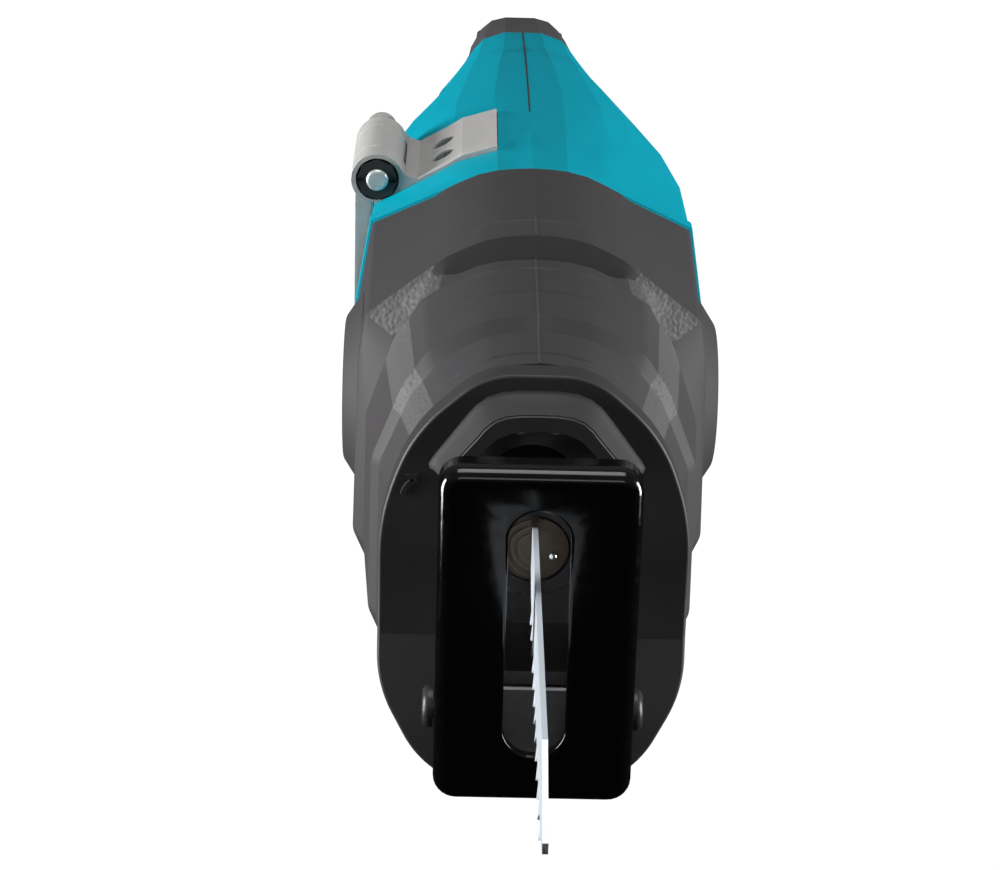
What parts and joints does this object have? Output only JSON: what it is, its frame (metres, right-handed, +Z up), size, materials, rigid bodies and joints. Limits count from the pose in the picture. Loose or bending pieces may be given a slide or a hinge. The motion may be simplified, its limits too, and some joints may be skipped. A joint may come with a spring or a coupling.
{
  "type": "cordless reciprocating saw",
  "caption": "Battery reciprocating saw with a boot-covered gear housing, D handle, tilting shoe, twist blade clamp, folding side hook and slide-on battery.",
  "frame": {"origin": "centre line of the plunger where it crosses the shoe's front face", "axes": "-Y is the cutting direction, out of the shoe along the blade; +Y runs back to the handle; +Z is up; +X is the left side of a user who stands behind the tool"},
  "size_m": [0.1002, 0.5335, 0.1947],
  "materials": {
    "blade": "ground and set",
    "steel": "ground",
    "spring_steel": "drawn wire",
    "black_steel": "black oxide",
    "shoe_steel": "gloss black coating",
    "bearing_steel": "polished",
    "bronze": "sintered",
    "seal_rubber": "matt",
    "rotor_steel": "laminated",
    "copper_windings": "enamelled wire on laminations",
    "fan_plastic": "moulded",
    "cast_aluminium": "as cast",
    "hook_casting": "cast and tumbled",
    "zinc_screws": "zinc plated",
    "screw_steel": "black oxide",
    "boot_rubber": "fine grained",
    "guard_plastic": "fine grained",
    "led_clear": "clear, moulded",
    "circuit_board": "lacquered",
    "teal_plastic": "satin moulded",
    "grip_rubber": "soft, grained",
    "black_plastic": "moulded",
    "latch_plastic": "moulded",
    "cell_wrap": "shrink wrap"
  },
  "bodies": {
    "housing": {"housing_left": "teal_plastic", "housing_right": "teal_plastic", "gear_housing": "cast_aluminium", "gear_housing_cover": "cast_aluminium", "gear_boot": "boot_rubber", "side_bumpers": "boot_rubber", "nose_guard": "guard_plastic", "led_board": "circuit_board", "led_lenses": "led_clear", "plunger_bush": "bronze", "plunger_seal": "seal_rubber", "guide_rails": "steel", "gear_bearing": "bearing_steel", "motor_front_bearing": "bearing_steel", "motor_rear_bearing": "bearing_steel", "motor_stator": "copper_windings", "motor_mount": "black_plastic", "front_plate": "cast_aluminium", "controller": "black_plastic", "housing_screws": "screw_steel", "cover_screws": "screw_steel", "switch_body": "black_plastic", "trigger_spring": "spring_steel", "grip_left": "grip_rubber", "grip_right": "grip_rubber", "hook_bracket": "hook_casting", "hook_screws": "zinc_screws", "hook_bolt": "zinc_screws", "hook_nut": "black_plastic", "foot_rails": "black_plastic", "terminal_block": "black_plastic"},
    "plunger": {"plunger": "steel", "clamp_body": "black_steel", "clamp_pin": "steel", "clamp_spring": "spring_steel", "blade": "blade"},
    "clamp_sleeve": {"clamp_sleeve": "black_steel"},
    "counterweight": {"counterweight": "steel"},
    "crank": {"crank_gear": "steel", "crank_pin": "steel", "crank_roller": "steel"},
    "rotor": {"pinion": "steel", "motor_shaft": "steel", "rotor_core": "rotor_steel", "fan": "fan_plastic"},
    "shoe_bar": {"shoe_bar": "black_steel"},
    "shoe": {"shoe_plate": "shoe_steel", "shoe_pin": "black_steel"},
    "shoe_lock_button": {"shoe_lock_button": "black_plastic"},
    "trigger": {"trigger": "black_plastic"},
    "lock_off_button": {"lock_off_button": "black_plastic"},
    "hook": {"hook_arm": "hook_casting"},
    "battery": {"battery_top": "black_plastic", "battery_case": "black_plastic", "battery_cells": "cell_wrap"},
    "battery_latch": {"battery_latch": "latch_plastic"}
  },
  "joints": [
    {"name": "crank_spin", "type": "hinge", "parent": "housing", "child": "crank", "pos_m": [0, 0.133, -0.035], "axis": [0, 0, 1], "continuous": true},
    {"name": "rotor_spin", "type": "hinge", "parent": "housing", "child": "rotor", "pos_m": [0, 0.22, -0.019], "axis": [0, 1, 0], "continuous": true},
    {"name": "plunger_stroke", "type": "slide", "parent": "housing", "child": "plunger", "axis": [0, -1, 0], "range_m": [-0.016, 0.016]},
    {"name": "counterweight_stroke", "type": "slide", "parent": "housing", "child": "counterweight", "axis": [0, 1, 0], "range_m": [-0.0081, 0.0081]},
    {"name": "clamp_twist", "type": "hinge", "parent": "plunger", "child": "clamp_sleeve", "pos_m": [0, 0.05, 0], "axis": [0, -1, 0], "range_deg": [0, 80], "stiffness_Nm_per_rad": 0.04, "springref_deg": -20.05},
    {"name": "shoe_slide", "type": "slide", "parent": "housing", "child": "shoe_bar", "axis": [0, -1, 0], "range_m": [0, 0.027]},
    {"name": "shoe_tilt", "type": "hinge", "parent": "shoe_bar", "child": "shoe", "pos_m": [0, 0.016, -0.0305], "axis": [1, 0, 0], "range_deg": [-15, 25]},
    {"name": "shoe_lock_press", "type": "slide", "parent": "housing", "child": "shoe_lock_button", "axis": [0, 0, 1], "range_m": [0, 0.0025], "stiffness_N_per_m": 1200, "springref_m": -0.002},
    {"name": "trigger_pull", "type": "slide", "parent": "housing", "child": "trigger", "axis": [0, 1, 0], "range_m": [0, 0.007], "stiffness_N_per_m": 900, "springref_m": -0.004},
    {"name": "lock_off_push", "type": "slide", "parent": "housing", "child": "lock_off_button", "axis": [1, 0, 0], "range_m": [-0.003, 0.003]},
    {"name": "hook_fold", "type": "hinge", "parent": "housing", "child": "hook", "pos_m": [-0.043, 0.197, 0.05], "axis": [0, 1, 0], "range_deg": [0, 170]},
    {"name": "battery_slide", "type": "slide", "parent": "housing", "child": "battery", "axis": [0, 1, 0], "range_m": [0, 0.12]},
    {"name": "battery_latch_press", "type": "slide", "parent": "battery", "child": "battery_latch", "axis": [0, 0, -1], "range_m": [0, 0.0022], "stiffness_N_per_m": 1500, "springref_m": -0.002}
  ],
  "couplings": [
    {"joint": "rotor_spin", "follows": "crank_spin", "ratio": 4},
    {"joint": "counterweight_stroke", "follows": "plunger_stroke", "ratio": 0.5}
  ]
}
